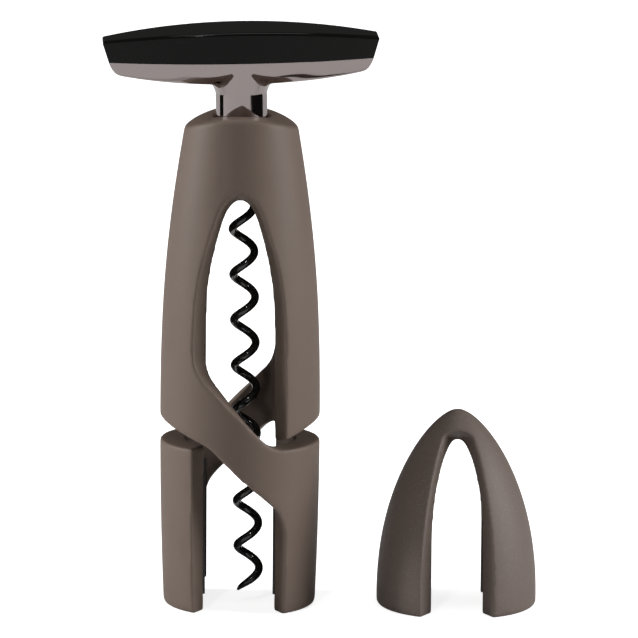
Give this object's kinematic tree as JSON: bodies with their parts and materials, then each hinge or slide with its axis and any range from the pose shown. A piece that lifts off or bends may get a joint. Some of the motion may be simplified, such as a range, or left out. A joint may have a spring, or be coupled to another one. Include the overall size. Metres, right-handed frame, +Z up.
{
  "type": "self-pulling corkscrew with foil cutter",
  "caption": "T-handled continuous-turn corkscrew: coated worm in a bell-shaped cut-away frame that sits on the bottle neck, with a matching arch-shaped foil cutter.",
  "frame": {"origin": "the worm's axis at the surface that the frame stands on", "axes": "+Z up along the worm, +X towards the foil cutter, -Y to the front with the window"},
  "size_m": [0.1262, 0.0462, 0.1685],
  "materials": {
    "soft_touch_taupe": "soft-touch coating, matte with a fine grain",
    "pad_rubber": "matte",
    "bush_nylon": "satin black",
    "bright_steel": "machined",
    "chrome_plate": "mirror polished",
    "gloss_black": "piano black gloss",
    "worm_coating": "black non-stick coating, semi-gloss"
  },
  "bodies": {
    "frame": {"frame_shell": "soft_touch_taupe", "neck_guide_pad_left": "pad_rubber", "neck_guide_pad_right": "pad_rubber", "worm_guide_bush": "bush_nylon", "bush_retaining_ring": "bright_steel"},
    "thrust_washer": {"thrust_washer": "bush_nylon"},
    "handle": {"handle_casting": "chrome_plate", "handle_cover": "gloss_black", "worm_hub": "bright_steel", "hub_washer": "bright_steel", "hub_nut": "bright_steel", "worm": "worm_coating"},
    "foil_cutter": {"foil_cutter_shell": "soft_touch_taupe", "wheel_carrier_right": "bush_nylon", "wheel_carrier_left": "bush_nylon", "wheel_pin_1": "bright_steel", "wheel_pin_2": "bright_steel", "wheel_pin_3": "bright_steel", "wheel_pin_4": "bright_steel"},
    "cutting_wheel_1": {"cutting_wheel_1": "bright_steel"},
    "cutting_wheel_2": {"cutting_wheel_2": "bright_steel"},
    "cutting_wheel_3": {"cutting_wheel_3": "bright_steel"},
    "cutting_wheel_4": {"cutting_wheel_4": "bright_steel"}
  },
  "joints": [
    {"name": "spindle_lift", "type": "slide", "parent": "frame", "child": "thrust_washer", "axis": [-0.0192, 0, 0.9998], "range_m": [0, 0.11]},
    {"name": "handle_spin", "type": "hinge", "parent": "thrust_washer", "child": "handle", "pos_m": [0, 0, 0.145], "axis": [-0.0192, 0, 0.9998], "continuous": true},
    {"name": "foil_cutter_lift", "type": "slide", "parent": "frame", "child": "foil_cutter", "axis": [0, 0, 1], "range_m": [0, 0.06]},
    {"name": "cutting_wheel_1_spin", "type": "hinge", "parent": "foil_cutter", "child": "cutting_wheel_1", "pos_m": [0.07865, -0.00664, 0.008], "axis": [0, 0, 1], "continuous": true},
    {"name": "cutting_wheel_2_spin", "type": "hinge", "parent": "foil_cutter", "child": "cutting_wheel_2", "pos_m": [0.07865, 0.00664, 0.008], "axis": [0, 0, 1], "continuous": true},
    {"name": "cutting_wheel_3_spin", "type": "hinge", "parent": "foil_cutter", "child": "cutting_wheel_3", "pos_m": [0.04735, 0.00664, 0.008], "axis": [0, 0, 1], "continuous": true},
    {"name": "cutting_wheel_4_spin", "type": "hinge", "parent": "foil_cutter", "child": "cutting_wheel_4", "pos_m": [0.04735, -0.00664, 0.008], "axis": [0, 0, 1], "continuous": true}
  ]
}
